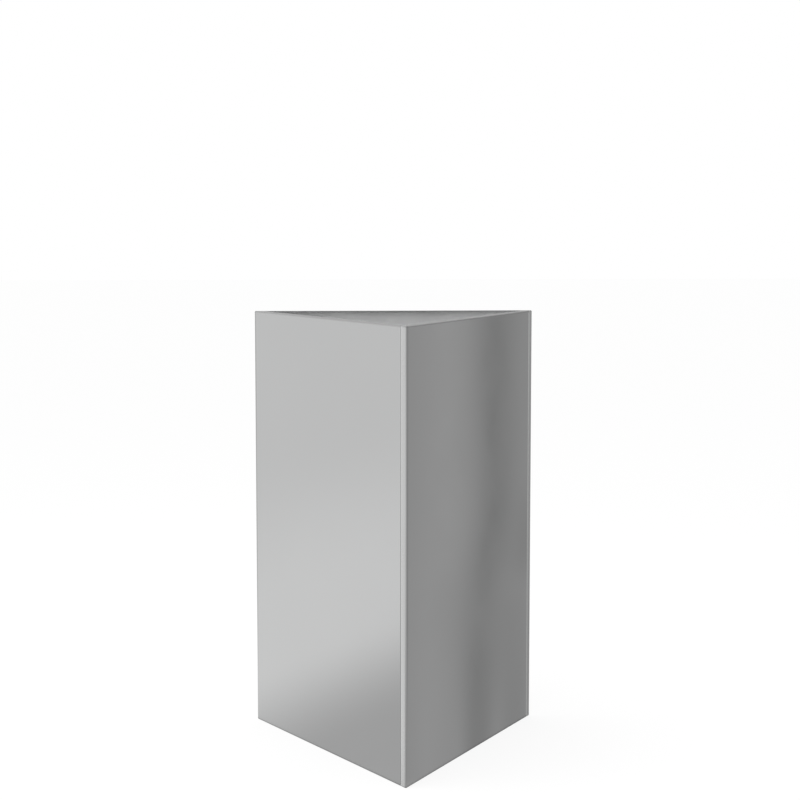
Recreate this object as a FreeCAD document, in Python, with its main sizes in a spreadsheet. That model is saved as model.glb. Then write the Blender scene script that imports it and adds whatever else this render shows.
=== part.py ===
import FreeCAD, Part
import os
import Sketcher

# Triangular floor planter: three folded sheet panels, each wrapping one corner of an equilateral
# triangle, screwed together through inward seam flanges, with a loose base plate on the foot flanges.
# Millimetres, +Z up, origin under the middle of the bounding box, front corner towards -Y.

driving_sizes = {
    # planter
    "overall_width": 500,
    "overall_height": 750,
    "sheet_thickness": 1,
    # folds: inside radii of the bends, and the widths of what is folded inwards
    "corner_bend": 1.5,
    "rim_bend": 1,
    "seam_bend": 0.5,
    "wrap_width": 16,
    "lip_width": 12,
    "foot_width": 25,
    "seam_depth": 20,
    "seam_gap": 0.2,
    "bend_relief": 2,
    # base plate
    "base_thickness": 1.5,
    "base_clearance": 3,
    "base_corner_cut": 46,
    "base_corner_radius": 5,
    "drain_diameter": 12,
    "drain_ring_radius": 75,
    "drain_count": 6,
    # seam screws, their washers and their nuts
    "screw_count": 4,
    "screw_edge_distance": 60,
    "screw_depth": 9.5,
    "screw_diameter": 5,
    "screw_length": 8,
    "screw_tip_chamfer": 0.6,
    "screw_head_diameter": 9.5,
    "screw_head_height": 2.75,
    "screw_head_rim": 0.6,
    "socket_width": 3,
    "socket_depth": 1.6,
    "hole_clearance": 0.5,
    "washer_diameter": 10,
    "washer_thickness": 1,
    "nut_width": 8,
    "nut_height": 4,
    "thread_clearance": 0.2,
}

doc = FreeCAD.newDocument("triangular_planter")
sheet = doc.addObject("Spreadsheet::Sheet", "sizes")
for row, (name, size) in enumerate(driving_sizes.items(), 1):
    sheet.set(f"A{row}", name)
    sheet.set(f"B{row}", str(size))
    sheet.setAlias(f"B{row}", name)
doc.recompute()

# Lengths that follow from the driving sizes, as expressions on the sheet.
corner_outside = "(sizes.corner_bend + sizes.sheet_thickness)"
seam_outside = "(sizes.seam_bend + sizes.sheet_thickness)"
rim_outside = "(sizes.rim_bend + sizes.sheet_thickness)"
side = f"(sizes.overall_width + 2 * (sqrt(3) - 1) * {corner_outside})"
triangle_depth = f"({side} * sqrt(3) / 2)"
corner_tangent = f"({corner_outside} * sqrt(3))"
face_end = f"({side} - sizes.wrap_width - sizes.seam_gap / 2)"
band_end = "(sizes.wrap_width - sizes.seam_gap / 2)"
fold_bottom = "(sizes.sheet_thickness + sizes.bend_relief)"
fold_top = f"(sizes.overall_height - {fold_bottom})"
seat_of_washer = "(sizes.wrap_width + sizes.seam_gap / 2 + sizes.sheet_thickness)"
seat_of_head = f"({seat_of_washer} + sizes.washer_thickness)"
seat_of_nut = f"({band_end} - sizes.sheet_thickness)"
screw_row = "(sizes.overall_height - 2 * sizes.screw_edge_distance)"
hole_diameter = "(sizes.screw_diameter + sizes.hole_clearance)"

# Virtual sharp corners of the plan, whose bounding box is centred once the corners are rounded.
front_y = f"(-{triangle_depth} / 2 - {corner_outside} / 2)"
back_y = f"({triangle_depth} / 2 - {corner_outside} / 2)"
plan_corners = {
    "front": ("0", front_y),
    "right": (f"{side} / 2", back_y),
    "left": (f"-{side} / 2", back_y),
}


def value(expression):
    return float(sheet.evalExpression(expression))


def origin_part(body, role):
    return next(feature for feature in body.Origin.OriginFeatures if feature.Role == role)


def new_body(label, turn, across, along, up="0"):
    body = doc.addObject("PartDesign::Body", label)
    body.Label = label
    body.Placement = FreeCAD.Placement(FreeCAD.Vector(), FreeCAD.Rotation(turn, 0, 0))
    body.setExpression("Placement.Base.x", across)
    body.setExpression("Placement.Base.y", along)
    body.setExpression("Placement.Base.z", up)
    return body


def new_sketch(body, name, role, offset="0"):
    sketch = body.newObject("Sketcher::SketchObject", f"{body.Name}_{name}")
    sketch.AttachmentSupport = (origin_part(body, role), [""])
    sketch.MapMode = "FlatFace"
    sketch.setExpression("AttachmentOffset.Base.z", offset)
    return sketch


def bind(sketch, constraint, expression):
    number = sketch.addConstraint(constraint)
    sketch.setExpression(f"Constraints[{number}]", expression)


def lock_point(sketch, edge, end, point):
    for kind, expression in zip(("DistanceX", "DistanceY"), point):
        bind(sketch, Sketcher.Constraint(kind, -1, 1, edge, end, value(expression)), expression)


def bend(point, centre, radius):
    """A corner of an outline after which it follows an arc round centre."""
    return (*point, centre, radius)


def draw_outline(sketch, corners):
    """Closed outline through corners, in order: straight edges, and an arc after each bend."""
    places = [FreeCAD.Vector(value(corner[0]), value(corner[1]), 0) for corner in corners]
    first = sketch.GeometryCount
    for number, corner in enumerate(corners):
        start = places[number]
        end = places[(number + 1) % len(places)]
        if len(corner) == 2:
            sketch.addGeometry(Part.LineSegment(start, end))
            continue
        centre = FreeCAD.Vector(value(corner[2][0]), value(corner[2][1]), 0)
        outward = ((start + end) / 2 - centre).normalize()
        sketch.addGeometry(Part.Arc(start, centre + outward * value(corner[3]), end))
    for number, corner in enumerate(corners):
        edge = first + number
        following = first + (number + 1) % len(corners)
        start, end = ends_in_order(sketch, edge, places[number])
        next_start = ends_in_order(sketch, following, places[(number + 1) % len(places)])[0]
        sketch.addConstraint(Sketcher.Constraint("Coincident", edge, end, following, next_start))
        lock_point(sketch, edge, start, corner[:2])
        if len(corner) > 2:
            bind(sketch, Sketcher.Constraint("Radius", edge, value(corner[3])), corner[3])


def ends_in_order(sketch, edge, start):
    """The edge's two end numbers, the one at start first: arcs always run counter-clockwise."""
    if sketch.getPoint(edge, 1).distanceToPoint(start) < sketch.getPoint(edge, 2).distanceToPoint(start):
        return 1, 2
    return 2, 1


def draw_circle(sketch, centre, diameter):
    place = FreeCAD.Vector(value(centre[0]), value(centre[1]), 0)
    edge = sketch.addGeometry(Part.Circle(place, FreeCAD.Vector(0, 0, 1), value(diameter) / 2))
    lock_point(sketch, edge, 3, centre)
    bind(sketch, Sketcher.Constraint("Diameter", edge, value(diameter)), diameter)


def draw_hexagon(sketch, width):
    corner_distance = f"{width} / 2 / cos(30)"
    draw_outline(sketch, [
        (f"{corner_distance} * cos({60 * number})", f"{corner_distance} * sin({60 * number})")
        for number in range(6)
    ])


def pad(body, name, sketch, length):
    feature = body.newObject("PartDesign::Pad", f"{body.Name}_{name}")
    feature.Profile = sketch
    feature.setExpression("Length", length)
    doc.recompute()
    return feature


def pocket(body, name, sketch, length):
    before = body.Shape.Volume
    feature = body.newObject("PartDesign::Pocket", f"{body.Name}_{name}")
    feature.Profile = sketch
    feature.setExpression("Length", length)
    doc.recompute()
    if not feature.Shape.Volume < before:
        raise RuntimeError(f"{feature.Name} cuts nothing")
    return feature


def fillet(body, name, edges, radius):
    base = body.Tip
    feature = body.newObject("PartDesign::Fillet", f"{body.Name}_{name}")
    feature.Base = (base, edges)
    feature.setExpression("Radius", radius)
    doc.recompute()
    return feature


# Folded panels. A panel's own frame has X along its face from its corner, Y inwards and Z up.
# Its band wraps that corner and runs at 60 degrees, back along the neighbour's face.


def on_face(along, deep):
    return along, deep


def on_band(along, deep):
    across = f"({along}) * cos(60) + ({deep}) * sin(60)"
    return across, f"({along}) * sin(60) - ({deep}) * cos(60)"


corner_centre = on_face(corner_tangent, corner_outside)
outer_corner = bend(on_face(corner_tangent, "0"), corner_centre, corner_outside)
inner_corner = bend(on_band(corner_tangent, "sizes.sheet_thickness"), corner_centre, "sizes.corner_bend")


def draw_fold(sketch):
    """Section of the wall with its two seam flanges, every bend round."""
    thick = "sizes.sheet_thickness"
    face_turn = f"{face_end} - {seam_outside}"
    band_turn = f"{band_end} - {seam_outside}"
    face_centre = on_face(face_turn, seam_outside)
    band_centre = on_band(band_turn, seam_outside)
    draw_outline(sketch, [
        on_face(face_end, "sizes.seam_depth"),
        bend(on_face(face_end, seam_outside), face_centre, seam_outside),
        on_face(face_turn, "0"),
        outer_corner,
        on_band(corner_tangent, "0"),
        bend(on_band(band_turn, "0"), band_centre, seam_outside),
        on_band(band_end, seam_outside),
        on_band(band_end, "sizes.seam_depth"),
        on_band(f"{band_end} - {thick}", "sizes.seam_depth"),
        bend(on_band(f"{band_end} - {thick}", seam_outside), band_centre, "sizes.seam_bend"),
        on_band(band_turn, thick),
        inner_corner,
        on_face(corner_tangent, thick),
        bend(on_face(face_turn, thick), face_centre, "sizes.seam_bend"),
        on_face(f"{face_end} - {thick}", seam_outside),
        on_face(f"{face_end} - {thick}", "sizes.seam_depth"),
    ])


def draw_strip(sketch):
    """Section of the wall past the ends of the seam flanges."""
    draw_outline(sketch, [
        on_face(face_end, "0"),
        outer_corner,
        on_band(corner_tangent, "0"),
        on_band(band_end, "0"),
        on_band(band_end, "sizes.sheet_thickness"),
        inner_corner,
        on_face(corner_tangent, "sizes.sheet_thickness"),
        on_face(face_end, "sizes.sheet_thickness"),
    ])


def draw_return(sketch, width):
    """Plan of the sheet folded inwards at the rim or the foot, mitred against its neighbours."""
    square_end = f"{rim_outside} + sizes.seam_gap"
    mitre = f"({width} * sqrt(3) + sizes.seam_gap / 2)"
    draw_outline(sketch, [
        on_face(face_end, "0"),
        outer_corner,
        on_band(corner_tangent, "0"),
        on_band(band_end, "0"),
        on_band(band_end, square_end),
        on_face(mitre, width),
        on_face(f"{side} - {mitre}", width),
        on_face(face_end, square_end),
    ])


def rim_edges(shape, levels, deep, corner_radius):
    """Edges of the rim and foot that run along the wall at a depth from its outer face."""
    found = []
    tiny = 1e-4
    into_band = FreeCAD.Vector(value("sin(60)"), value("-cos(60)"), 0)
    for number, edge in enumerate(shape.Edges, 1):
        middle = edge.valueAt((edge.FirstParameter + edge.LastParameter) / 2)
        if min(abs(middle.z - level) for level in levels) > tiny or edge.BoundBox.ZLength > tiny:
            continue
        straight = min(abs(middle.y - deep), abs(middle.dot(into_band) - deep)) < tiny
        round_corner = isinstance(edge.Curve, Part.Circle) and abs(edge.Curve.Radius - corner_radius) < tiny
        if straight or round_corner:
            found.append(f"Edge{number}")
    return found


def drill_flange(body, name, turn, across_plane, deep, offset_across, offset_up):
    """Row of screw holes through a seam flange, drilled from the face that meets the other panel."""
    sketch = new_sketch(body, name, "YZ_Plane", offset_up)
    sketch.AttachmentOffset = FreeCAD.Placement(
        FreeCAD.Vector(), FreeCAD.Rotation(FreeCAD.Vector(0, 1, 0), turn))
    sketch.setExpression("AttachmentOffset.Base.x", offset_across)
    for number in range(int(value("sizes.screw_count"))):
        height = f"sizes.screw_edge_distance + {number} * {screw_row} / (sizes.screw_count - 1)"
        draw_circle(sketch, (deep, height), hole_diameter)
    pocket(body, f"{name}_cut", sketch, across_plane)


def make_panel(label, corner, turn):
    body = new_body(label, turn, *plan_corners[corner])
    fold = new_sketch(body, "fold_section", "XY_Plane", fold_bottom)
    draw_fold(fold)
    pad(body, "fold", fold, f"{fold_top} - {fold_bottom}")
    for name, level in (("foot_strip", "0"), ("rim_strip", fold_top)):
        strip = new_sketch(body, f"{name}_section", "XY_Plane", level)
        draw_strip(strip)
        pad(body, name, strip, fold_bottom)
    rim_level = "sizes.overall_height - sizes.sheet_thickness"
    for name, width, level in (("foot", "sizes.foot_width", "0"), ("lip", "sizes.lip_width", rim_level)):
        plan = new_sketch(body, f"{name}_plan", "XY_Plane", level)
        draw_return(plan, width)
        pad(body, name, plan, "sizes.sheet_thickness")
    thick = value("sizes.sheet_thickness")
    height = value("sizes.overall_height")
    inner = rim_edges(body.Shape, (thick, height - thick), thick, value("sizes.corner_bend"))
    fillet(body, "inside_bends", inner, "sizes.rim_bend")
    outer = rim_edges(body.Shape, (0, height), 0, value(corner_outside))
    fillet(body, "outside_bends", outer, rim_outside)
    drill_flange(body, "face_holes", 0, "sizes.sheet_thickness", "sizes.screw_depth", "0", face_end)
    drill_flange(body, "band_holes", 60, "sizes.sheet_thickness", "-sizes.screw_depth",
                 f"{band_end} * sin(60)", f"{band_end} * cos(60)")
    return body


def make_base_plate(label):
    body = new_body(label, 0, "0", f"{back_y} - {triangle_depth} / 3", "sizes.sheet_thickness")
    edge_distance = f"({side} / sqrt(12) - sizes.lip_width - sizes.base_clearance)"
    cut_distance = f"({side} / sqrt(3) - sizes.base_corner_cut)"
    half_cut = f"((2 * {edge_distance} - {cut_distance}) * tan(30))"
    corners = []
    for turn in (30, 150, 270):
        for sign in (-1, 1):
            across = f"{cut_distance} * cos({turn}) - {sign} * {half_cut} * sin({turn})"
            up = f"{cut_distance} * sin({turn}) + {sign} * {half_cut} * cos({turn})"
            corners.append((across, up))
    plan = new_sketch(body, "plan", "XY_Plane")
    draw_outline(plan, corners)
    plate = pad(body, "plate", plan, "sizes.base_thickness")
    upright = [f"Edge{number}" for number, edge in enumerate(plate.Shape.Edges, 1)
               if edge.BoundBox.ZLength > edge.BoundBox.DiagonalLength / 2]
    fillet(body, "rounded_corners", upright, "sizes.base_corner_radius")
    drains = new_sketch(body, "drain_holes", "XY_Plane", "sizes.base_thickness")
    draw_circle(drains, ("0", "0"), "sizes.drain_diameter")
    for number in range(int(value("sizes.drain_count"))):
        angle = f"(90 + {number} * 360 / sizes.drain_count)"
        spot = (f"sizes.drain_ring_radius * cos({angle})", f"sizes.drain_ring_radius * sin({angle})")
        draw_circle(drains, spot, "sizes.drain_diameter")
    pocket(body, "drains", drains, "sizes.base_thickness")
    return body


# Seam fasteners. Their own frame has X along the neighbour's face, away from the corner and along the
# screw, Y outwards, and its origin on the axis of the lowest screw.


def fastener_body(label, corner, turn):
    across, along = plan_corners[corner]
    return new_body(
        label, turn,
        f"{across} + sizes.screw_depth * sin({turn})",
        f"{along} - sizes.screw_depth * cos({turn})",
        "sizes.screw_edge_distance",
    )


def repeat_upwards(body, features):
    row = body.newObject("PartDesign::LinearPattern", f"{body.Name}_row")
    row.Originals = features
    row.Direction = (origin_part(body, "Z_Axis"), [""])
    row.setExpression("Length", screw_row)
    row.setExpression("Occurrences", "sizes.screw_count")
    body.Tip = row
    doc.recompute()


def make_screws(label, corner, turn):
    body = fastener_body(label, corner, turn)
    tip = f"({seat_of_head} - sizes.screw_length)"
    shank = "sizes.screw_diameter / 2"
    head = "sizes.screw_head_diameter / 2"
    crown = f"({seat_of_head} + sizes.screw_head_height)"
    dome = "(sizes.screw_head_height - sizes.screw_head_rim)"
    dome_radius = f"(({head} * {head} + {dome} * {dome}) / (2 * {dome}))"
    section = new_sketch(body, "section", "XY_Plane")
    draw_outline(section, [
        (tip, "0"),
        (tip, f"{shank} - sizes.screw_tip_chamfer"),
        (f"{tip} + sizes.screw_tip_chamfer", shank),
        (seat_of_head, shank),
        (seat_of_head, head),
        bend((f"{seat_of_head} + sizes.screw_head_rim", head), (f"{crown} - {dome_radius}", "0"), dome_radius),
        (crown, "0"),
    ])
    turned = body.newObject("PartDesign::Revolution", f"{body.Name}_turned")
    turned.Profile = section
    turned.ReferenceAxis = (origin_part(body, "X_Axis"), [""])
    turned.Angle = 360
    doc.recompute()
    socket = new_sketch(body, "socket", "YZ_Plane", crown)
    draw_hexagon(socket, "sizes.socket_width")
    cut = pocket(body, "socket_cut", socket, "sizes.socket_depth")
    repeat_upwards(body, [turned, cut])
    return body


def make_washers(label, corner, turn):
    body = fastener_body(label, corner, turn)
    ring = new_sketch(body, "ring", "YZ_Plane", seat_of_washer)
    draw_circle(ring, ("0", "0"), "sizes.washer_diameter")
    draw_circle(ring, ("0", "0"), hole_diameter)
    washer = pad(body, "washer", ring, "sizes.washer_thickness")
    repeat_upwards(body, [washer])
    return body


def make_nuts(label, corner, turn):
    body = fastener_body(label, corner, turn)
    section = new_sketch(body, "section", "YZ_Plane", f"{seat_of_nut} - sizes.nut_height")
    draw_hexagon(section, "sizes.nut_width")
    draw_circle(section, ("0", "0"), "sizes.screw_diameter + sizes.thread_clearance")
    nut = pad(body, "nut", section, "sizes.nut_height")
    repeat_upwards(body, [nut])
    return body


# Each panel starts at a corner and faces the direction in which it turns, counter-clockwise from +X.
nodes = [
    make_panel("right_panel", "front", 60),
    make_panel("back_panel", "right", 180),
    make_panel("left_panel", "left", 300),
    make_base_plate("base_plate"),
]
for corner, turn in (("front", 120), ("right", 240), ("left", 0)):
    nodes.append(make_screws(f"{corner}_seam_screws", corner, turn))
    nodes.append(make_washers(f"{corner}_seam_washers", corner, turn))
    nodes.append(make_nuts(f"{corner}_seam_nuts", corner, turn))

doc.recompute()
for item in doc.Objects:
    if "Invalid" in item.State or "Error" in item.State:
        raise RuntimeError(f"{item.Label} failed: {item.State}")
for node in nodes:
    if node.Shape.isNull() or not node.Shape.isValid():
        raise RuntimeError(f"{node.Label} has no valid shape")

os.makedirs("parts", exist_ok=True)
for node in nodes:
    node.Shape.exportStep(f"parts/{node.Label}.step")
    print(node.Label, len(node.Shape.Solids), "solids", round(node.Shape.Volume), "mm3")
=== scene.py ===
import math

import bmesh
import bpy
from mathutils import Matrix, Vector


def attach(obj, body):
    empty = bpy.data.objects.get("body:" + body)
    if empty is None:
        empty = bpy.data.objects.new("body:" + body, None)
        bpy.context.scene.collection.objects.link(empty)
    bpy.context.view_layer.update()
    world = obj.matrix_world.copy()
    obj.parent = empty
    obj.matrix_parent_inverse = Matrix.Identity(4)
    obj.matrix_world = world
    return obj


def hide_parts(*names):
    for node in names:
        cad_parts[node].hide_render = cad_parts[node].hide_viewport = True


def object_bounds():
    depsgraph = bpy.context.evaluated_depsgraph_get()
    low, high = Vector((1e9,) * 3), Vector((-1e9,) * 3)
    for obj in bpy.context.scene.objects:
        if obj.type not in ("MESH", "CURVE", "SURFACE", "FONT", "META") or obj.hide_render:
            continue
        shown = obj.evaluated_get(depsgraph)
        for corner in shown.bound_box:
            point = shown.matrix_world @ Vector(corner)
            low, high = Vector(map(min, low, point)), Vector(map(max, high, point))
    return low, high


# Triangular planter of folded stainless sheet. Metres, +Z up, front corner towards -Y.

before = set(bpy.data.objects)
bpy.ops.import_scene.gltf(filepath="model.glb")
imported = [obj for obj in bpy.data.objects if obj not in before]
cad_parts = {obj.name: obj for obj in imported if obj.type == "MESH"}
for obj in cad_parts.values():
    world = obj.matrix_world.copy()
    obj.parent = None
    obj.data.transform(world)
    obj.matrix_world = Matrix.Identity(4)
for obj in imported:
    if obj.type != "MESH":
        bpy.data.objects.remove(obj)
cadLow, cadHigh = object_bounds()
height = cadHigh.z
root3 = math.sqrt(3)


# shader maths: an expression on wires adds its Math nodes
class Wire:
    def __init__(self, tree, socket=None):
        self.tree = tree
        self.socket = socket

    def plug(self, place, item):
        if isinstance(item, list):  # several wires into one socket
            for wire in item:
                self.plug(place, wire)
        elif isinstance(item, Wire):
            self.tree.links.new(item.socket, place)
        else:
            place.default_value = item

    def add(self, kind, settings=None, sockets=None, out=0):
        node = self.tree.nodes.new(kind)
        for name, item in (settings or {}).items():
            if name == "stops":
                setStops(node.color_ramp, item)
            else:
                setattr(node, name, item)
        for name, item in (sockets or {}).items():
            self.plug(node.inputs[name], item)
        return Wire(self.tree, node.outputs[out] if node.outputs else None)

    def output(self, name):  # another output of the same node
        return Wire(self.tree, self.socket.node.outputs[name])

    def maths(self, operation, *items):
        return self.add("ShaderNodeMath", {"operation": operation}, dict(enumerate(items)))

    def __add__(self, other):
        return self.maths("ADD", self, other)

    def __sub__(self, other):
        return self.maths("SUBTRACT", self, other)

    def __rsub__(self, other):
        return self.maths("SUBTRACT", other, self)

    def __mul__(self, other):
        return self.maths("MULTIPLY", self, other)

    def __truediv__(self, other):
        return self.maths("DIVIDE", self, other)

    def __neg__(self):
        return self.maths("MULTIPLY", self, -1)

    __radd__ = __add__
    __rmul__ = __mul__

    def between(self, low, high):  # 0 at low, 1 at high, smooth
        sockets = {"Value": self, "From Min": low, "From Max": high}
        return self.add("ShaderNodeMapRange", {"interpolation_type": "SMOOTHSTEP"}, sockets)

    def colour(self, dark, light):  # from dark at 0 to light at 1, and on past both
        sockets = {0: self, 6: (*dark, 1), 7: (*light, 1)}  # factor and the two colours
        return self.add("ShaderNodeMix", {"data_type": "RGBA", "clamp_factor": False}, sockets, out=2)

    def vector(self, operation, *items):
        return self.add("ShaderNodeVectorMath", {"operation": operation}, dict(enumerate(items)))

    def noise(self, vector, scale, detail, roughness=0.5):
        sockets = {"Vector": vector, "Scale": scale, "Detail": detail, "Roughness": roughness}
        return self.add("ShaderNodeTexNoise", None, sockets)

    def bump(self, relief, **others):  # relief in metres
        sockets = {"Strength": 1.0, "Distance": 1.0, "Height": relief, **others}
        return self.add("ShaderNodeBump", None, sockets)

    def steel(self, colour, roughness, normal, metallic=1.0):
        return self.add("ShaderNodeBsdfPrincipled", None, {
            "Base Color": colour, "Metallic": metallic, "Roughness": roughness, "Normal": normal,
        })


def setStops(ramp, stops):
    while len(ramp.elements) < len(stops):
        ramp.elements.new(1.0)
    for element, (place, level) in zip(ramp.elements, stops):
        element.position = place
        element.color = (level, level, level, 1)


def newMaterial(name):
    material = bpy.data.materials.new(name)
    material.use_nodes = True
    material.node_tree.nodes.clear()
    return material, Wire(material.node_tree)


def closeMaterial(wires, shader):
    wires.add("ShaderNodeOutputMaterial", None, {"Surface": shader})


# panel finish: satin-polished sheet, with painted light and shade on the band, rim, seams and corner bend,
# read from the sheet's own developed UV, in metres
panelFinish = {
    "dark": (0.523, 0.526, 0.526),
    "light": (0.567, 0.570, 0.570),
    "roughness": 0.14,
    "bandReach": (0.4, 1.2),  # round the corner, in halves of its bend
    "bandRoughness": 0.12,
    "bandPaintedLight": 0.06,  # painted light: the folded band's colour is a little lighter
    "bandLean": 0.30,  # and mirrors more of the sky
    "rimReach": (-0.004, 0.001),  # from the rim's level
    "rimRoughness": 0.20,
    "rimPaintedShade": 0.15,  # painted shade: the rim is darker than the faces, besides being rougher
    "lipReach": (0.0, 0.002),  # and past its bend it is even all round
    "faceSeamReach": (0.0005, 0.0013),
    "faceSeamPaintedShade": 0.12,  # painted shade where the face turns into its seam
    "bandSeamReach": (-0.004, -0.002),
    "bandSeamPaintedHighlight": 0.06,  # painted highlight where the band turns into it
    "bendFrom": (-0.4, 0.4),  # in halves of the bend
    "bendTo": (1.0, 3.0),
    "bendRise": (0.03, 0.30),  # above the foot
    "bendPaintedShade": 0.14,  # painted shade on the face's side of the corner bend
    "wearReach": (0.6, 1.6),  # and rubbed on both sides
    "wearSmudge": (0.42, 0.62),
    "wearRoughness": 0.05,
    "footReach": (0.001, 0.010),  # the foot is scuffed this high
    "scuffSpeck": (0.55, 0.7),
    "scuffRoughness": 0.2,
    "scuffShade": 0.066,
    "cloud": (2.5, 2.0),  # noises: scale per metre, detail, and roughness where it is set
    "smudge": (11.0, 6.0, 0.62),
    "smudgeRoughness": 0.09,
    "specks": (420.0, 2.0),
    "speckHeight": 0.000002,
    "wave": (3.0, 0.0),
    "waveHeight": 0.001,
    "grain": (1.0, 4.0, 0.7),
    "grainScale": (1500.0, 22.0, 1.0),  # polishing lines, across and along the sheet
    "grainRoughness": 0.07,
    "grainHeight": 0.0000025,
}


def panelSteel(bendHalf, faceSeam, bandSeam):
    look = panelFinish
    material, wires = newMaterial("panelSteel")
    sheet = wires.add("ShaderNodeUVMap", {"uv_map": "sheet"})
    across = wires.add("ShaderNodeSeparateXYZ", None, {0: sheet})
    along = across.output("Y")
    solid = wires.add("ShaderNodeTexCoord", out="Object")
    cloud = wires.noise(solid, *look["cloud"])
    smudge = wires.noise(solid, *look["smudge"])
    specks = wires.noise(solid, *look["specks"])
    wave = wires.noise(solid, *look["wave"])
    lines = wires.add("ShaderNodeMapping", None, {"Vector": sheet, "Scale": look["grainScale"]})
    grain = wires.noise(lines, *look["grain"])
    # places on the sheet
    turned = across / bendHalf
    onWall = 1 - (along - height).between(*look["lipReach"])
    inBand = (-turned).between(*look["bandReach"]) * onWall
    onBend = 1 - wires.maths("ABSOLUTE", turned).between(*look["wearReach"])
    onTurn = turned.between(*look["bendFrom"]) * (1 - turned.between(*look["bendTo"]))
    onTurn = onTurn * along.between(*look["bendRise"]) * onWall
    onRim = (along - height).between(*look["rimReach"])
    onFoot = 1 - along.between(*look["footReach"])
    atFaceSeam = (across - faceSeam).between(*look["faceSeamReach"]) * onWall
    atBandSeam = (-across - bandSeam).between(*look["bandSeamReach"]) * onWall
    wear = wires.maths("MAXIMUM", onBend, onFoot)
    worn = wear * smudge.between(*look["wearSmudge"])
    scuffs = onFoot * specks.between(*look["scuffSpeck"])
    # colour with painted light and shade (lighter band and band seam, darker rim, face seam and corner
    # bend) and real scuffs at the foot, gloss and relief
    paintedLight = inBand * look["bandPaintedLight"] + atBandSeam * look["bandSeamPaintedHighlight"]
    paintedShadeAndScuffs = onRim * look["rimPaintedShade"] + atFaceSeam * look["faceSeamPaintedShade"]
    paintedShadeAndScuffs = paintedShadeAndScuffs + onTurn * look["bendPaintedShade"] + scuffs * look["scuffShade"]
    span = look["light"][0] - look["dark"][0]
    colour = ((cloud + grain) * 0.5 + (paintedLight - paintedShadeAndScuffs) / span).colour(look["dark"], look["light"])
    dull = inBand * look["bandRoughness"] + onRim * look["rimRoughness"]
    dull = dull + worn * look["wearRoughness"] + scuffs * look["scuffRoughness"]
    uneven = (smudge - 0.5) * look["smudgeRoughness"] + (grain - 0.5) * look["grainRoughness"]
    roughness = look["roughness"] + dull + uneven
    relief = wave * look["waveHeight"] + grain * look["grainHeight"] + specks * look["speckHeight"] * wear
    upwards = wires.add("ShaderNodeCombineXYZ", None, {"Z": inBand * look["bandLean"]})
    facing = wires.add("ShaderNodeNewGeometry", out="Normal")
    leaning = wires.vector("NORMALIZE", wires.vector("ADD", facing, upwards))
    closeMaterial(wires, wires.steel(colour, roughness, wires.bump(relief, Normal=leaning)))
    return material


# mill finish: the sheet's inner side, dull and pale, and the base plate
millFinish = {
    "blotchSpan": (0.3, 0.7),
    "blotchShare": 0.7,  # in the colour, beside the pits
    "blotchRoughness": 0.14,
    "pits": (900.0, 2.0),
    "pitRoughness": 0.08,
    "pitDepth": 0.00001,
}
panelMill = {
    "dark": (0.72, 0.723, 0.723),
    "light": (0.88, 0.883, 0.883),
    "metallic": 0.7,
    "roughness": 0.75,
    "blotch": (9.0, 5.0),
}
baseMill = {
    "dark": (0.50, 0.50, 0.497),
    "light": (0.66, 0.657, 0.652),
    "metallic": 1.0,
    "roughness": 0.40,
    "blotch": (16.0, 5.0),
}


def speckledColour(look, broad, fine):
    share = look["blotchShare"]
    return (broad * share + fine * (1 - share)).colour(look["dark"], look["light"])


def millSteel(name, look):
    look = {**millFinish, **look}
    material, wires = newMaterial(name)
    solid = wires.add("ShaderNodeTexCoord", out="Object")
    blotch = wires.noise(solid, *look["blotch"]).between(*look["blotchSpan"])
    pits = wires.noise(solid, *look["pits"])
    colour = speckledColour(look, blotch, pits)
    uneven = (blotch - 0.5) * look["blotchRoughness"] + (pits - 0.5) * look["pitRoughness"]
    roughness = look["roughness"] + uneven
    normal = wires.bump(pits * look["pitDepth"])
    closeMaterial(wires, wires.steel(colour, roughness, normal, look["metallic"]))
    return material


# folded panels: one closed wall with rim lip and foot, and two seam flanges that butt against it
panelSizes = {
    "sheet": 0.001,
    "cornerBend": 0.0015,  # inside radii
    "rimBend": 0.001,
    "seamBend": 0.0005,
    "wrap": 0.016,  # width of the band round the corner
    "lip": 0.012,
    "foot": 0.025,
    "flange": 0.020,
    "gap": 0.0002,
    "relief": 0.002,
    "holes": 4,  # screw holes in each flange
    "firstHole": 0.060,  # from the floor, and from the rim
    "holeDepth": 0.0095,  # behind the face
    "holeRadius": 0.00275,
    "cornerSteps": 12,
    "bendSteps": 6,
    "holeSteps": 24,
}
thick = panelSizes["sheet"]
cornerOut = panelSizes["cornerBend"] + thick
rimOut = panelSizes["rimBend"] + thick
seamOut = panelSizes["seamBend"] + thick
side = cadHigh.x - cadLow.x + 2 * (root3 - 1) * cornerOut
tangent = cornerOut * root3
arcHalf = cornerOut * math.radians(60)
faceEnd = side - panelSizes["wrap"] - panelSizes["gap"] / 2
bandEnd = panelSizes["wrap"] - panelSizes["gap"] / 2
faceSeam = faceEnd - seamOut - tangent + arcHalf  # developed lengths where the seam bends start
bandSeam = bandEnd - seamOut - tangent + arcHalf
squareEnd = rimOut + panelSizes["gap"]
foldBottom = thick + panelSizes["relief"]
foldTop = height - foldBottom
triangle = {
    "front": Vector((0, cadLow.y - cornerOut, 0)),
    "right": Vector((side / 2, cadHigh.y, 0)),
    "left": Vector((-side / 2, cadHigh.y, 0)),
}
bandAlong = Vector((0.5, root3 / 2))
bandDeep = Vector((root3 / 2, -0.5))


def upright(plan, level):
    return Vector((plan.x, plan.y, level))


def onBand(along, deep):
    return bandAlong * along + bandDeep * deep


def cornerTurns():  # outward directions round the corner bend, from the face to the band
    turns = []
    for step in range(panelSizes["cornerSteps"] + 1):
        angle = math.radians(-90 - 120 * step / panelSizes["cornerSteps"])
        turns.append(Vector((math.cos(angle), math.sin(angle))))
    return turns


def cutAt(start, end, deep, width):  # seam cut of a lip or foot: square at the bend, then mitred
    if deep <= squareEnd:
        return start
    return start + (end - start) * (deep - squareEnd) / (width - squareEnd)


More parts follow.
